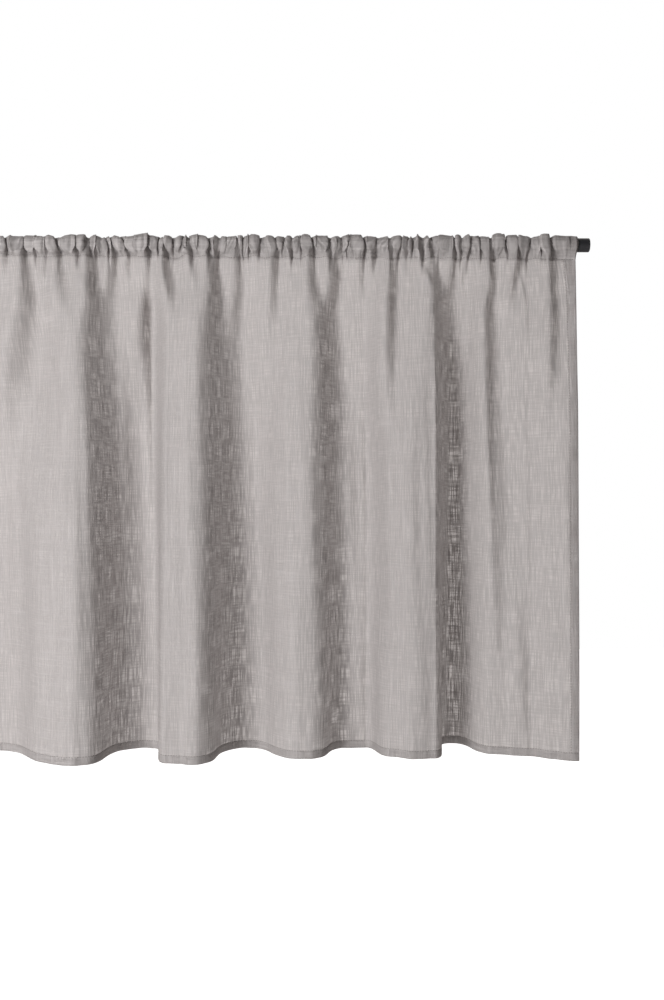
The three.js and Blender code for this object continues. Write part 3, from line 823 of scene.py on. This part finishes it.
# %% One mesh with its own map of the flat cloth
def cloth_mesh(points):
    rows, columns = points.shape[:2]
    steps = np.linalg.norm(np.diff(points[:, columns // 2], axis=0), axis=1)
    v = np.concatenate([[0], np.cumsum(steps)])
    index = np.arange(rows * columns).reshape(rows, columns)
    quads = np.stack([index[:-1, :-1], index[1:, :-1], index[1:, 1:], index[:-1, 1:]], axis=-1).reshape(-1, 4)
    mesh = bpy.data.meshes.new("linen_cloth")
    mesh.from_pydata((points.reshape(-1, 3) * MM).tolist(), [], quads.tolist())
    uv = np.stack(np.broadcast_arrays(column_u[None, :], v[:, None]), axis=-1).reshape(-1, 2) * MM
    layer = mesh.uv_layers.new(name="flat_cloth")
    loops = np.empty(len(mesh.loops), dtype=np.int32)
    mesh.loops.foreach_get("vertex_index", loops)
    layer.data.foreach_set("uv", uv[loops].ravel())
    mesh.polygons.foreach_set("use_smooth", np.ones(len(mesh.polygons), dtype=bool))
    mesh.update()
    return mesh, v[-1]


linen_mesh, FLAT_LENGTH = cloth_mesh(grid)
linen = bpy.data.objects.new("linen_cloth", linen_mesh)
bpy.context.scene.collection.objects.link(linen)
print(f"cloth {FLAT_LENGTH:.0f} mm long, {2 * len(linen_mesh.polygons)} triangles")

# %% [markdown]
# Every material here is a tree of nodes. Most of its nodes are sums, ranges and noises, so a small class
# with a few short ways to add them keeps the trees readable. Threads are a noise drawn out along one
# direction of the map.

# %% Short ways to add nodes
THREAD_DETAIL = 0.6


class Tree:
    """A material's node tree."""

    def __init__(self, name):
        self.material = bpy.data.materials.new(name)
        self.material.use_nodes = True
        self.nodes = self.material.node_tree.nodes
        self.nodes.clear()
        self.link = self.material.node_tree.links.new

    def put(self, socket, value):
        if isinstance(value, bpy.types.NodeSocket):
            self.link(value, socket)
        else:
            socket.default_value = value

    def add(self, kind, **values):
        node = self.nodes.new(kind)
        for name, value in values.items():
            self.put(node.inputs[name.replace("_", " ").title()], value)
        return node

    def in_order(self, kind, *values):
        """A node whose first inputs are the values, in their order."""
        node = self.nodes.new(kind)
        for socket, value in zip(node.inputs, values):
            self.put(socket, value)
        return node

    def math(self, operation, *values):
        node = self.in_order("ShaderNodeMath", *values)
        node.operation = operation
        return node.outputs[0]

    def span(self, value, low, high, to_low, to_high):
        ends = {"from_min": low, "from_max": high, "to_min": to_low, "to_max": to_high}
        return self.add("ShaderNodeMapRange", value=value, **ends).outputs[0]

    def threads(self, uv, across, up, detail=THREAD_DETAIL):
        place = self.add("ShaderNodeMapping", vector=uv, scale=(1 / (across * MM), 1 / (up * MM), 1))
        texture = self.add("ShaderNodeTexNoise")
        texture.noise_dimensions = "2D"
        texture.inputs["Scale"].default_value = 1
        texture.inputs["Detail"].default_value = detail
        self.link(place.outputs[0], texture.inputs["Vector"])
        return texture.outputs["Fac"]

    def tinted(self, colour, tone):
        node = self.nodes.new("ShaderNodeMix")
        node.data_type = "RGBA"
        node.blend_type = "MULTIPLY"
        node.inputs["Factor"].default_value = 1
        node.inputs["A"].default_value = colour
        self.link(tone, node.inputs["B"])
        return node.outputs["Result"]

    def finished(self, shader):
        """The material, with this shader as its surface."""
        out = self.nodes.new("ShaderNodeOutputMaterial")
        self.link(shader.outputs[0], out.inputs["Surface"])
        return self.material


# %% [markdown]
# Linen yarn is uneven: a thread is thick here and thin there, so an open weave lets more light through in
# fine streaks along both directions. In full light these hardly show. In the shade of a fold, where the
# light comes through the cloth from behind, they are what the eye sees. So the weave mostly changes how
# much light a place lets through. Here and there a slub, a thick piece of yarn, stops the light.

# %% Linen
LINEN_COLOUR = (0.43, 0.403, 0.398, 1)
THROUGH_COLOUR = (0.51, 0.484, 0.475, 1)
CLOTH_ROUGHNESS = 0.9
# width of a thread, and length of a thin place, of a slub and of a soft band of tone
THREAD = 1.25
STREAK = 24
SLUB = 60
BAND = (2.4, 45)
# the noise between these two becomes the weave, from closed to open, and the upright threads weigh more
THREAD_NOISE = (0.36, 0.64)
WARP_SHARE = 0.66
WEFT_SHARE = 0.34
SLUB_NOISE = (0.66, 0.8)
SLUB_CLOSES = 0.1
# from the closed to the open weave: the share of light that goes through, and its strength
THROUGH = (0.03, 0.53)
LIT = (0.44, 1.46)
# how open the weave is where it starts to have plain holes, and their share where it is most open
HOLES_FROM = 0.5
HOLES = 0.08
TONE_NOISE = (0.7, 1.3)
TONES = (0.95, 1.05)
WEAVE_HEIGHT = 0.0003
WEAVE_STRENGTH = 0.5


def linen_material():
    tree = Tree("linen")
    uv_map = tree.add("ShaderNodeUVMap")
    uv_map.uv_map = "flat_cloth"
    uv = uv_map.outputs["UV"]
    warp = tree.threads(uv, THREAD, STREAK)
    weft = tree.threads(uv, STREAK, THREAD)
    upright = tree.span(warp, *THREAD_NOISE, 0.0, WARP_SHARE)
    level = tree.span(weft, *THREAD_NOISE, 0.0, WEFT_SHARE)
    weave = tree.math("ADD", upright, level)
    slubs = tree.math("MAXIMUM", tree.threads(uv, THREAD, SLUB, 0.0), tree.threads(uv, SLUB, THREAD, 0.0))
    thick = tree.span(slubs, *SLUB_NOISE, 0.0, SLUB_CLOSES)
    bands = tree.threads(uv, *BAND, 0.0)
    tone = tree.math("ADD", tree.span(tree.math("ADD", warp, bands), *TONE_NOISE, *TONES), thick)
    colour = tree.tinted(LINEN_COLOUR, tone)
    front = tree.add("ShaderNodeBsdfPrincipled", base_color=colour, roughness=CLOTH_ROUGHNESS)
    bump = tree.add("ShaderNodeBump", height=weave, distance=WEAVE_HEIGHT, strength=WEAVE_STRENGTH)
    tree.link(bump.outputs[0], front.inputs["Normal"])
    lit = tree.span(weave, 0.0, 1.0, *LIT)
    through = tree.add("ShaderNodeBsdfTranslucent", color=tree.tinted(THROUGH_COLOUR, lit))
    thin = tree.math("SUBTRACT", tree.span(weave, 0.0, 1.0, *THROUGH), thick)
    yarn = tree.in_order("ShaderNodeMixShader", thin, front.outputs[0], through.outputs[0])
    holes = tree.span(weave, HOLES_FROM, 1.0, 0.0, HOLES)
    clear = tree.add("ShaderNodeBsdfTransparent")
    return tree.finished(tree.in_order("ShaderNodeMixShader", holes, yarn.outputs[0], clear.outputs[0]))


linen_mesh.materials.append(linen_material())
print("linen has", len(linen_mesh.materials[0].node_tree.nodes), "nodes")

# %% [markdown]
# The cloth is sewn with one thread in its own colour, a little darker. The seams are the pocket's, along
# both faces of the cloth, and those of the bottom and side hems. Their paths are rows and columns of the
# sheet, lifted on to its outer face.

# %% Paths of the seams
ABOVE_FACE = 0.12


def grid_normals(points):
    normal = np.cross(np.gradient(points, axis=1), np.gradient(points, axis=0))
    normal /= np.linalg.norm(normal, axis=2, keepdims=True)
    return normal if normal[len(points) // 2, COLUMN_COUNT // 2, 1] < 0 else -normal


def seam_paths():
    """The seams as points on the outer face of the layer that they are seen on."""
    on_face = grid + grid_normals(grid) * ABOVE_FACE
    rows = [STITCH_FRONT_ROW, STITCH_BEHIND_ROW, HEM_SEAM_ROW, len(grid) - 1]
    paths = [on_face[row, FIRST_FRONT:LAST_FRONT] for row in rows]
    for column in (0, FIRST_FRONT + HEM_COLUMN, LAST_FRONT - HEM_COLUMN, grid.shape[1] - 1):
        paths.append(on_face[STITCH_FRONT_ROW : HEM_SEAM_ROW + 1, column])
    return paths


def seam_mesh(paths):
    mesh = bpy.data.meshes.new("linen_stitches")
    edges = []
    start = 0
    for path in paths:
        edges += [(start + i, start + i + 1) for i in range(len(path) - 1)]
        start += len(path)
    mesh.from_pydata((np.concatenate(paths) * MM).tolist(), edges, [])
    return mesh


seams = seam_paths()
print(len(seams), "seams")

# %% [markdown]
# A seam is the same stitch again and again, so Geometry Nodes make it: the seam's edges become a curve, the
# curve is cut into points one pitch apart, and each point gets a small stitch, drawn out and turned along
# the seam. Real instances would be lost in the export, so the tree ends by making them real.

# %% Stitches
STITCH_LENGTH = 2.4
STITCH_PITCH = 3.1
STITCH_THICK = 0.75
STITCH_SIDES = 6
STITCH_RINGS = 4
THREAD_COLOUR = (0.25, 0.23, 0.22, 1)
THREAD_ROUGHNESS = 0.75


def stitch_tree(material):
    """Geometry Nodes: one stitch on each point of every seam, along its direction."""
    tree = bpy.data.node_groups.new("stitch_rows", "GeometryNodeTree")
    face = tree.interface
    face.new_socket("Geometry", in_out="INPUT", socket_type="NodeSocketGeometry")
    for name in ("Pitch", "Length", "Thickness"):
        face.new_socket(name, in_out="INPUT", socket_type="NodeSocketFloat")
    face.new_socket("Geometry", in_out="OUTPUT", socket_type="NodeSocketGeometry")
    new, link = tree.nodes.new, tree.links.new
    given, out = new("NodeGroupInput"), new("NodeGroupOutput")
    curve = new("GeometryNodeMeshToCurve")
    points = new("GeometryNodeCurveToPoints")
    points.mode = "LENGTH"
    # a ball one unit across, which its scale turns into a stitch
    ball = new("GeometryNodeMeshUVSphere")
    ball.inputs["Segments"].default_value = STITCH_SIDES
    ball.inputs["Rings"].default_value = STITCH_RINGS
    ball.inputs["Radius"].default_value = 0.5
    size = new("ShaderNodeCombineXYZ")
    placed = new("GeometryNodeInstanceOnPoints")
    real = new("GeometryNodeRealizeInstances")
    finish = new("GeometryNodeSetMaterial")
    finish.inputs["Material"].default_value = material
    link(given.outputs["Geometry"], curve.inputs["Mesh"])
    link(curve.outputs[0], points.inputs["Curve"])
    link(given.outputs["Pitch"], points.inputs["Length"])
    link(given.outputs["Thickness"], size.inputs["X"])
    link(given.outputs["Thickness"], size.inputs["Y"])
    link(given.outputs["Length"], size.inputs["Z"])
    link(points.outputs["Points"], placed.inputs["Points"])
    link(points.outputs["Rotation"], placed.inputs["Rotation"])
    link(ball.outputs["Mesh"], placed.inputs["Instance"])
    link(size.outputs[0], placed.inputs["Scale"])
    link(placed.outputs[0], real.inputs[0])
    link(real.outputs[0], finish.inputs["Geometry"])
    link(finish.outputs[0], out.inputs[0])
    return tree


def thread_material():
    tree = Tree("linen_thread")
    shader = tree.add("ShaderNodeBsdfPrincipled", base_color=THREAD_COLOUR, roughness=THREAD_ROUGHNESS)
    return tree.finished(shader)


def sew(paths, material):
    """A plain mesh of all stitches. The modifier goes with the object that it worked on."""
    work = bpy.data.objects.new("seams", seam_mesh(paths))
    bpy.context.scene.collection.objects.link(work)
    modifier = work.modifiers.new("stitches", "NODES")
    modifier.node_group = stitch_tree(material)
    values = {"Pitch": STITCH_PITCH * MM, "Length": STITCH_LENGTH * MM, "Thickness": STITCH_THICK * MM}
    for item in modifier.node_group.interface.items_tree:
        if item.name in values:
            modifier[item.identifier] = values[item.name]
    evaluated = work.evaluated_get(bpy.context.evaluated_depsgraph_get())
    mesh = bpy.data.meshes.new_from_object(evaluated)
    mesh.name = "linen_stitches"
    bpy.data.objects.remove(work)
    mesh.polygons.foreach_set("use_smooth", np.ones(len(mesh.polygons), dtype=bool))
    stitches = bpy.data.objects.new("linen_stitches", mesh)
    bpy.context.scene.collection.objects.link(stitches)
    return stitches


stitches = sew(seams, thread_material())
print("stitches:", len(stitches.data.polygons) // (STITCH_SIDES * STITCH_RINGS))

# %% [markdown]
# The rod is a plain round rod with a dark, satin coat. It is the CAD's own piece, so it only gets its
# finish here: a coat that isn't perfectly even, with a soft gleam.

# %% Rod finish
COAT_COLOUR = (0.016, 0.016, 0.019, 1)
COAT_GRAIN = 900.0
COAT_DETAIL = 2.0
COAT_NOISE = (0.3, 0.7)
COAT_ROUGHNESS = (0.38, 0.5)
COAT_HEIGHT = 0.00002
COAT_STRENGTH = 0.5


def rod_material():
    tree = Tree("dark_satin")
    place = tree.add("ShaderNodeTexCoord").outputs["Object"]
    grain = tree.add("ShaderNodeTexNoise", vector=place, scale=COAT_GRAIN, detail=COAT_DETAIL).outputs["Fac"]
    bump = tree.add("ShaderNodeBump", height=grain, distance=COAT_HEIGHT, strength=COAT_STRENGTH)
    shader = tree.add("ShaderNodeBsdfPrincipled", base_color=COAT_COLOUR, metallic=0.0)
    tree.link(tree.span(grain, *COAT_NOISE, *COAT_ROUGHNESS), shader.inputs["Roughness"])
    tree.link(bump.outputs[0], shader.inputs["Normal"])
    return tree.finished(shader)


rod = frame["nodes"]["rod"]
rod.data.materials.clear()
rod.data.materials.append(rod_material())
print("rod finish:", rod.data.materials[0].name)

# %% [markdown]
# Last, the cloth and its stitches are made to ride on the frame's body, the CAD's own cloth panel, which the
# cloth stands for, is hidden, and the size of the flat cloth is printed.

for piece in (linen, stitches):
    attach(piece, BODY)
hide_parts("cloth_panel")
print(f"flat cloth {FLAT_WIDTH:.0f} by {FLAT_LENGTH:.0f} mm")
